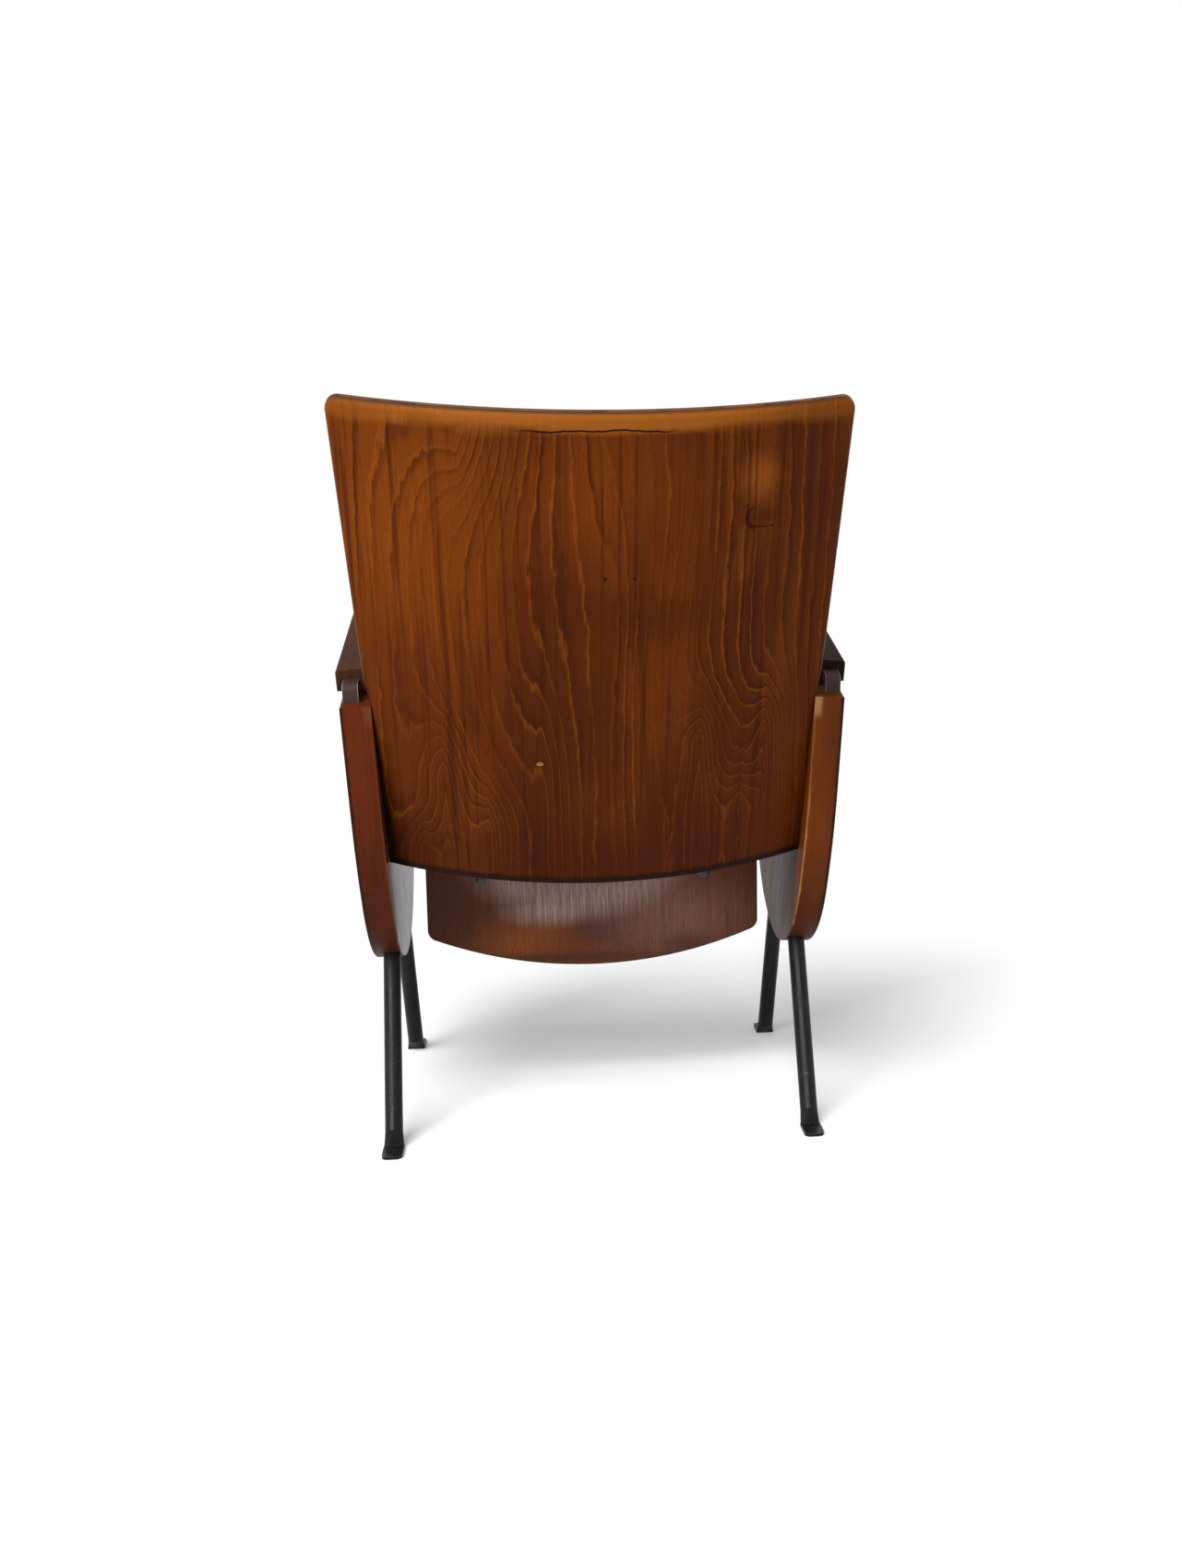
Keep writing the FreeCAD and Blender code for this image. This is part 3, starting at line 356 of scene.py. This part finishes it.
def make_back_wood():
    """Honey-brown bent plywood with a flat-cut face veneer and a painted highlight along its rolled top.
    Its rear face has a crack, two nail holes, a scar and a nick, with painted shade beside the panels."""
    material, g, shader = new_finish("back_wood")
    place = g.on_board(BACK_FOOT, (-BACK_RECLINE, 0.0, 0.0))
    lift = 0.0
    for x, z, half_width, half_height, rings in BACK_ARCHES:
        arch = g.use(ARCH, Place=place, Centre=(x, 0.0, z), Half_width=half_width,
                     Half_height=half_height, Rings=rings)["Lift"]
        lift = g.math("ADD", arch, lift)
    grain = g.use(GRAIN, Place=place, Lift=lift, Line_spacing=0.016, Wander=1.8)
    colour = g.mix(grain["Tone"], (0.072, 0.0130, 0.0005), (0.124, 0.0260, 0.0009))
    way_out = (0.0, math.cos(BACK_RECLINE), -math.sin(BACK_RECLINE))
    rear = facing(g, way_out)
    front = facing(g, tuple(-part for part in way_out))
    colour = lay_patches(g, colour, BACK_TONES, place, rear)
    rubbed = g.times(spot(g, place, 0.0, 0.30, 0.19, 0.24, 0.9), front)
    colour = g.lay(colour, rubbed, 0.55, (0.170, 0.045, 0.004))
    colour = g.lay(colour, grain["Fibre"], 0.22, (0.040, 0.007, 0.0004))
    colour = g.lay(colour, grain["Streaks"], 0.66, (0.034, 0.005, 0.0004))
    colour = g.lay(colour, grain["Lines"], 0.76, (0.032, 0.005, 0.0004))
    colour = g.lay(colour, grain["Glow"], 0.55, (0.225, 0.058, 0.003))
    colour = g.lay(colour, grain["Pores"], 0.35, (0.024, 0.005, 0.0005))
    parts = g.parts(place)
    colour = g.lay(colour, g.span(parts["Z"], 0.13, -0.01), 0.50, (0.036, 0.006, 0.0003))
    # Painted highlight: a pale strip under the rolled top stands for light reflected from above, strongest in
    # the middle.
    ragged = g.math("ADD", parts["Z"], g.times(g.noise(g.stretch(place, (14.0, 1.0, 60.0)), 1.0), 0.018))
    top_highlight_low = BACK_LENGTH - TOP_HIGHLIGHT_DEPTH
    top_highlight = g.span(ragged, top_highlight_low - 0.004, top_highlight_low + 0.010)
    middle = g.span(g.math("ABSOLUTE", parts["X"]), 0.25, 0.10, 0.35, 0.75)
    colour = g.mix(g.times(top_highlight, middle), colour, (0.330, 0.100, 0.010))
    rim = g.span(parts["Z"], BACK_LENGTH - 0.0035, BACK_LENGTH - 0.001)
    colour = g.lay(colour, rim, 0.8, (0.055, 0.022, 0.010))
    crack_line = g.math("ADD", parts["Z"], g.times(g.noise(g.stretch(place, (40.0, 1.0, 1.0)), 1.0), 0.008))
    crack = g.span(g.math("ABSOLUTE", g.math("SUBTRACT", crack_line, CRACK_HEIGHT)), 0.0015, 0.0004)
    crack = g.times(crack, spot(g, place, 0.0, 0.522, 0.085, 0.05, 0.3))
    foot = g.math("ADD", parts["Z"], g.times(g.noise(g.stretch(place, (90.0, 1.0, 30.0)), 1.0), 0.007))
    foot = g.math("SUBTRACT", foot, g.times(g.times(parts["X"], parts["X"]), 0.13))
    chips = g.span(foot, 0.0075, 0.0015)
    colour = g.lay(colour, g.times(chips, rear), 0.9, (0.010, 0.004, 0.002))
    # Painted shade: a dark strip along the back's lower side edges where it meets the side panels, wider and
    # darker on the left.
    edge_x = g.math("ADD", g.times(parts["Z"], BACK_TAPER), BACK_FOOT_HALF_WIDTH)
    left_gap = g.math("SUBTRACT", edge_x, parts["X"])
    right_gap = g.math("ADD", edge_x, parts["X"])
    reach = g.span(parts["Z"], 0.0, 0.24, 0.015, 0.002)
    joint_shade = g.math("MAXIMUM", g.span(left_gap, reach, g.times(reach, 0.35)),
                   g.times(g.span(right_gap, reach, g.times(reach, 0.2)), 0.4))
    joint_shade = g.times(joint_shade, g.span(parts["Z"], 0.26, 0.16))
    colour = g.lay(colour, g.times(joint_shade, rear), 0.92, (0.006, 0.003, 0.002))
    marks = g.math("MAXIMUM", *(spot(g, place, *hole, 0.4) for hole in NAIL_HOLES))
    hook = g.math("SUBTRACT", spot(g, place, *SCAR, 0.12), spot(g, place, *SCAR_HOLLOW, 0.12), clamp=True)
    slash = g.times(spot(g, place, *SCAR_TAIL, 0.6), g.span(g.noise(place, 260.0), 0.40, 0.52))
    marks = g.math("MAXIMUM", marks, g.times(g.math("MAXIMUM", hook, slash), 0.8))
    marks = g.times(g.math("MAXIMUM", marks, crack), rear)
    colour = g.mix(marks, colour, (0.012, 0.004, 0.002))
    nick = g.times(spot(g, place, *NICK, 0.3), rear)
    nick = g.times(nick, g.span(g.noise(place, 700.0), 0.38, 0.52))
    colour = g.mix(nick, colour, (0.360, 0.150, 0.045))
    inward = g.math("ADD", parts["Y"], BACK_BEND_AXIS)
    radius = g.math("SQRT", g.math("ADD", g.times(parts["X"], parts["X"]), g.times(inward, inward)))
    edge = g.math("SUBTRACT", 1.0, g.math("ADD", rear, front), clamp=True)
    edge = g.times(edge, g.span(radius, BACK_BEND + 0.001, BACK_BEND - 0.0005))
    colour = cut_edge(g, colour, edge, radius, place, (0.190, 0.075, 0.025), (0.065, 0.022, 0.007))
    roughness = g.span(grain["Tone"], 0.0, 1.0, 0.34, 0.50)
    relief = g.math("SUBTRACT", g.times(grain["Fibre"], 0.25), g.math("ADD", marks, grain["Pores"]))
    varnish(g, shader, colour, roughness, relief, strength=0.25, depth=0.0004, gloss=0.045)
    return material


def make_seat_wood():
    """Dished plywood with stains on the side people sit on, a painted pale highlight along the dish and a
    painted grey reflection sheen.
    """
    material, g, shader = new_finish("seat_wood")
    place = g.on_board(SEAT_PIVOT)
    grain = g.use(GRAIN, Place=place, Lift=0.0, Line_spacing=0.030, Wander=1.2)
    colour = g.mix(grain["Tone"], (0.052, 0.011, 0.002), (0.090, 0.021, 0.004))
    sitting = facing(g, REARWARD)
    under = facing(g, FRONTWARD)
    colour = lay_patches(g, colour, SEAT_TONES, place, sitting)
    # Painted highlight: a pale curve along the rear slope of the dish, brightest left of the middle.
    outer = spot(g, place, 0.020, -0.060, 0.160, 0.092, 0.40)
    inner = spot(g, place, 0.000, -0.020, 0.150, 0.085, 0.50)
    highlight_crescent = g.math("SUBTRACT", outer, inner, clamp=True)
    highlight_core = spot(g, place, 0.055, -0.125, 0.085, 0.030, 0.9)
    highlight_crescent = g.math("MAXIMUM", g.times(highlight_crescent, 0.70), g.times(highlight_core, 0.85))
    highlight_crescent = g.times(highlight_crescent, g.span(grain["Fibre"], 0.0, 1.0, 1.0, 0.70))
    colour = g.mix(g.times(highlight_crescent, sitting), colour, (0.370, 0.265, 0.220))
    colour = g.lay(colour, grain["Fibre"], 0.40, (0.030, 0.009, 0.004))
    colour = g.lay(colour, grain["Lines"], 0.35, (0.040, 0.012, 0.005))
    colour = g.lay(colour, grain["Pores"], 0.55, (0.022, 0.008, 0.004))
    worn = g.use(WEAR, Place=place, Reach=0.004, Breakup=0.3)["Mask"]
    colour = g.lay(colour, worn, 0.9, (0.014, 0.006, 0.004))
    edge = g.math("SUBTRACT", 1.0, g.math("ADD", sitting, under), clamp=True)
    depth = g.parts(place)["Y"]
    colour = cut_edge(g, colour, edge, depth, place, (0.120, 0.045, 0.016), (0.040, 0.014, 0.006))
    roughness = g.span(grain["Tone"], 0.0, 1.0, 0.30, 0.46)
    relief = g.math("SUBTRACT", g.times(grain["Fibre"], 0.3), grain["Pores"])
    varnish(g, shader, colour, roughness, relief, strength=0.3, depth=0.0004, gloss=0.14)
    return material


def make_panel_wood():
    """Red-brown side boards, nearly black along the outer arris, paler along the inner one."""
    material, g, shader = new_finish("panel_wood")
    place = g.on_board(PANEL_TOP_REAR, (-PANEL_LEAN, 0.0, 0.0))
    turned = g.parts(place)
    wide = g.math("ADD", g.times(turned["X"], 2.6), turned["Y"])
    flat = g.add("ShaderNodeCombineXYZ", {0: wide, 1: turned["X"], 2: turned["Z"]}).outputs[0]
    grain = g.use(GRAIN, Place=flat, Lift=0.0, Line_spacing=0.016, Wander=2.2)
    left = g.span(turned["X"], *ACROSS_THE_MIDDLE)
    colour_left = g.mix(grain["Tone"], (0.066, 0.010, 0.001), (0.112, 0.017, 0.002))
    colour_right = g.mix(grain["Tone"], (0.088, 0.017, 0.0008), (0.155, 0.034, 0.0016))
    colour = g.mix(left, colour_right, colour_left)
    colour = g.lay(colour, grain["Lines"], 0.35, (0.045, 0.010, 0.002))
    colour = g.lay(colour, grain["Fibre"], 0.28, (0.040, 0.009, 0.002))
    colour = g.lay(colour, grain["Pores"], 0.45, (0.022, 0.006, 0.002))
    low = g.span(turned["Z"], -0.16, -0.34)
    colour = g.lay(colour, low, 0.75, (0.036, 0.006, 0.0005))
    seam = g.span(g.math("ABSOLUTE", g.math("ADD", turned["Z"], SEAM_DROP)), 0.0016, 0.0004)
    rear = facing(g, REARWARD)
    seam = g.times(seam, rear)
    colour = g.lay(colour, g.times(seam, left), 0.4, (0.020, 0.006, 0.002))
    out = g.math("ABSOLUTE", turned["X"])
    drop = g.times(turned["Z"], math.tan(PANEL_CANT) / math.cos(PANEL_LEAN))
    out = g.math("SUBTRACT", out, drop)
    ragged = g.noise(g.stretch(place, (1.0, 1.0, 55.0)), 1.0, 4.0, 0.7)
    ragged = g.times(g.math("SUBTRACT", ragged, 0.5), 0.006)
    edge = g.math("ADD", out, ragged)
    outer = g.times(g.span(edge, *OUTER_ARRIS), rear)
    colour = g.lay(colour, outer, 0.85, (0.010, 0.004, 0.003))
    inner = g.times(g.span(edge, *INNER_ARRIS), rear)
    inner = g.times(inner, g.span(turned["Z"], -0.06, -0.20, 0.25, 1.0))
    pale = g.mix(left, (0.400, 0.170, 0.050), (0.150, 0.035, 0.006))
    colour = g.mix(g.times(inner, g.span(left, 0.0, 1.0, 0.75, 0.45)), colour, pale)
    chipped = g.times(g.span(turned["Z"], -0.028, -0.012), g.span(edge, 0.2560, 0.2500))
    chipped = g.times(g.times(chipped, rear), g.span(left, 1.0, 0.0, 0.10, 0.7))
    colour = g.mix(chipped, colour, (0.340, 0.180, 0.065))
    roughness = g.span(grain["Tone"], 0.0, 1.0, 0.36, 0.52)
    relief = g.math("SUBTRACT", g.times(grain["Fibre"], 0.3), g.math("ADD", grain["Pores"], seam))
    varnish(g, shader, colour, roughness, relief, strength=0.3, depth=0.0004, gloss=0.07)
    return material


def make_cover_wood():
    """Thin veneered board on the inner face of each side, glossier on the left and with a painted grey-blue
    reflection there.
    """
    material, g, shader = new_finish("cover_wood")
    place = g.on_board(PANEL_TOP_REAR, (-PANEL_LEAN, 0.0, 0.0))
    turned = g.parts(place)
    flat = g.add("ShaderNodeCombineXYZ", {0: turned["Y"], 1: turned["X"], 2: turned["Z"]}).outputs[0]
    grain = g.use(GRAIN, Place=flat, Lift=0.0, Line_spacing=0.014, Wander=2.0)
    left = g.span(turned["X"], *ACROSS_THE_MIDDLE)
    colour = g.mix(grain["Tone"], (0.034, 0.019, 0.014), (0.066, 0.039, 0.029))
    # Painted reflection: a pale grey-blue sheen over the left inner face, seen at a grazing angle.
    colour = g.lay(colour, left, 0.42, (0.130, 0.125, 0.140))
    colour = g.lay(colour, grain["Lines"], 0.40, (0.035, 0.018, 0.012))
    colour = g.lay(colour, grain["Fibre"], 0.35, (0.028, 0.018, 0.014))
    colour = g.lay(colour, grain["Pores"], 0.50, (0.016, 0.010, 0.008))
    dry = g.times(g.math("SUBTRACT", 1.0, left), 0.22)
    roughness = g.math("ADD", g.span(grain["Fibre"], 0.0, 1.0, 0.26, 0.46), dry)
    relief = g.math("ADD", g.times(grain["Fibre"], 0.5), grain["Lines"])
    varnish(g, shader, colour, roughness, relief, strength=0.35, depth=0.0004, gloss=0.24)
    return material


def make_arm_wood():
    """Dark stained armrests, redder on the left, rubbed brown on their edges."""
    material, g, shader = new_finish("arm_wood")
    place = g.on_board(PANEL_TOP_REAR, (math.pi / 2 - ARM_SLOPE, 0.0, 0.0))
    grain = g.use(GRAIN, Place=place, Lift=0.0, Line_spacing=0.011, Wander=1.5)
    left = g.span(g.parts(place)["X"], *ACROSS_THE_MIDDLE)
    dark = g.mix(grain["Tone"], (0.010, 0.004, 0.002), (0.024, 0.010, 0.006))
    warm = g.mix(grain["Tone"], (0.034, 0.012, 0.006), (0.074, 0.027, 0.014))
    colour = g.mix(left, dark, warm)
    colour = g.lay(colour, grain["Lines"], 0.5, (0.010, 0.005, 0.004))
    colour = g.lay(colour, grain["Pores"], 0.5, (0.008, 0.004, 0.003))
    worn = g.use(WEAR, Place=place, Reach=0.003, Breakup=0.7)["Mask"]
    colour = g.lay(colour, worn, 0.55, (0.150, 0.070, 0.045))
    roughness = g.span(grain["Tone"], 0.0, 1.0, 0.50, 0.68)
    relief = g.math("SUBTRACT", 0.0, g.math("ADD", grain["Lines"], grain["Pores"]))
    varnish(g, shader, colour, roughness, relief, strength=0.3, depth=0.0005, gloss=0.03)
    return material


def make_metal(name, paint, bare, rough, chip, metallic=0.0, gloss=0.5):
    """Painted, blackened or plated steel: its coat, the metal where edges have lost it, and its rubs."""
    material, g, shader = new_finish(name)
    place = g.add("ShaderNodeTexCoord").outputs["Object"]
    rubs = g.use(SCRATCH, Place=place)
    worn = g.use(WEAR, Place=place, Reach=0.0016, Breakup=0.55)["Mask"]
    spots = g.span(g.noise(place, 420.0, 3.0, 0.6), 0.66, 0.74)
    share = g.math("MAXIMUM", worn, g.times(g.math("MAXIMUM", rubs["Mask"], spots), 0.6))
    share = g.times(share, chip)
    soiled = g.mix(rubs["Smudge"], paint, tuple(part * 1.7 + 0.002 for part in paint))
    colour = g.mix(share, soiled, bare)
    g.feed(shader.inputs["Metallic"], g.math("MAXIMUM", g.times(share, 0.8), metallic))
    roughness = g.span(rubs["Smudge"], 0.0, 1.0, rough - 0.06, rough + 0.12)
    relief = g.math("SUBTRACT", g.noise(place, 900.0, 2.0), share)
    varnish(g, shader, colour, roughness, relief, strength=0.12, depth=0.0004, gloss=gloss)
    return material


FINISHES = {
    "back_wood": make_back_wood(),
    "seat_wood": make_seat_wood(),
    "panel_wood": make_panel_wood(),
    "cover_wood": make_cover_wood(),
    "arm_wood": make_arm_wood(),
    "leg_paint": make_metal("leg_paint", (0.003, 0.003, 0.0035), (0.16, 0.16, 0.17), 0.34, 0.5, gloss=0.16),
    "bar_steel": make_metal("bar_steel", (0.026, 0.014, 0.012), (0.42, 0.36, 0.32), 0.46, 0.9, gloss=0.12),
    "hinge_steel": make_metal("hinge_steel", (0.010, 0.010, 0.011), (0.20, 0.20, 0.20), 0.44, 0.7, gloss=0.25),
    "hardware": make_metal("hardware", (0.20, 0.19, 0.17), (0.50, 0.48, 0.44), 0.48, 0.6, metallic=0.7),
    "dark_bolt": make_metal("dark_bolt", (0.012, 0.009, 0.008), (0.20, 0.16, 0.13), 0.42, 0.6),
}

for row in frame["record"]["subparts"]:
    for slot in frame["nodes"][row["node"]].material_slots:
        slot.material = FINISHES[row["material_slot"]]


# Floor and surroundings: pale, with the chair's soft shadow
def looked_at(g):
    """1 for rays that look at a thing, also in a gloss or through glass, and 0 for those that light it."""
    rays = g.add("ShaderNodeLightPath").outputs
    mirrored = g.math("MAXIMUM", rays["Is Glossy Ray"], rays["Is Transmission Ray"])
    return g.math("MAXIMUM", rays["Is Camera Ray"], mirrored)


def make_floor():
    mesh = bpy.data.meshes.new("floor")
    reach = FLOOR_HALF_WIDTH
    corners = [(-reach, -reach, 0), (reach, -reach, 0), (reach, reach, 0), (-reach, reach, 0)]
    mesh.from_pydata(corners, [], [(0, 1, 2, 3)])
    floor = bpy.data.objects.new("floor", mesh)
    bpy.context.scene.collection.objects.link(floor)
    material, g, shader = new_finish("floor_white")
    shader.inputs["Base Color"].default_value = (0.82, 0.82, 0.82, 1.0)
    shader.inputs["Roughness"].default_value = 1.0
    shader.inputs["Specular IOR Level"].default_value = 0.0
    seen = looked_at(g)
    shader.inputs["Emission Color"].default_value = (1.0, 1.0, 1.0, 1.0)
    g.feed(shader.inputs["Emission Strength"], g.times(seen, FLOOR_LIFT))
    mesh.materials.append(material)


def make_world(level):
    world = bpy.data.worlds.new("studio")
    bpy.context.scene.world = world
    world.use_nodes = True
    g = Graph(world.node_tree)
    world.node_tree.nodes.clear()
    seen = looked_at(g)
    strength = g.span(seen, 0.0, 1.0, level, 1.0, smooth=False)
    sky = g.add("ShaderNodeBackground", {"Color": (1.0, 1.0, 1.0, 1.0), "Strength": strength})
    g.feed(g.add("ShaderNodeOutputWorld").inputs["Surface"], sky.outputs[0])


def softbox(name, place, aim, size, power):
    lamp = bpy.data.lights.new(name, "AREA")
    lamp.shape = "DISK"
    lamp.size = size
    lamp.energy = power
    piece = bpy.data.objects.new(name, lamp)
    piece.location = place
    piece.rotation_euler = (Vector(aim) - Vector(place)).to_track_quat("-Z", "Y").to_euler()
    bpy.context.scene.collection.objects.link(piece)


def sun(name, toward, strength, spread):
    """Even soft light from one side, named by the way back to it."""
    lamp = bpy.data.lights.new(name, "SUN")
    lamp.energy = strength
    lamp.angle = math.radians(spread)
    piece = bpy.data.objects.new(name, lamp)
    piece.rotation_euler = Vector(toward).to_track_quat("Z", "Y").to_euler()
    bpy.context.scene.collection.objects.link(piece)


make_floor()
make_world(WORLD_LEVEL)
sun("overhead", (0.42, 0.66, 1.0), 3.0, 38.0)
softbox("side", (2.2, 2.4, 1.3), (0.0, 0.0, 0.5), 1.4, 36.0)


# Camera: stands behind the chair, turned to the photograph's right and a little down.
# Its focal length, frame and optical middle are in pixels of the photograph.
CAMERA_PLACE = (0.0689, 1.8552, 0.6767)
CAMERA_TURN = (6.538, 8.488, -0.592)
FOCAL = 1646.43
FRAME = (1280.0, 1699.0)
MIDDLE = (767.095, 836.0)


def make_camera():
    yaw, pitch, roll = (math.radians(angle) for angle in CAMERA_TURN)
    width, height = FRAME
    level_right = Vector((-math.cos(yaw), math.sin(yaw), 0.0))
    level_ahead = Vector((-math.sin(yaw), -math.cos(yaw), 0.0))
    ahead = level_ahead * math.cos(pitch) - Vector((0.0, 0.0, math.sin(pitch)))
    above = level_ahead * math.sin(pitch) + Vector((0.0, 0.0, math.cos(pitch)))
    right = level_right * math.cos(roll) + above * math.sin(roll)
    up = above * math.cos(roll) - level_right * math.sin(roll)
    data = bpy.data.cameras.new("camera")
    data.sensor_fit = "VERTICAL"
    data.sensor_height = 36.0
    data.lens = FOCAL / height * data.sensor_height
    data.shift_x = (width / 2 - MIDDLE[0]) / height
    data.shift_y = (MIDDLE[1] - height / 2) / height
    camera = bpy.data.objects.new("camera", data)
    bpy.context.scene.collection.objects.link(camera)
    turn = Matrix((right, up, -ahead)).transposed().to_4x4()
    camera.matrix_world = Matrix.Translation(CAMERA_PLACE) @ turn
    bpy.context.scene.camera = camera


make_camera()
bpy.context.scene.view_settings.view_transform = "Standard"
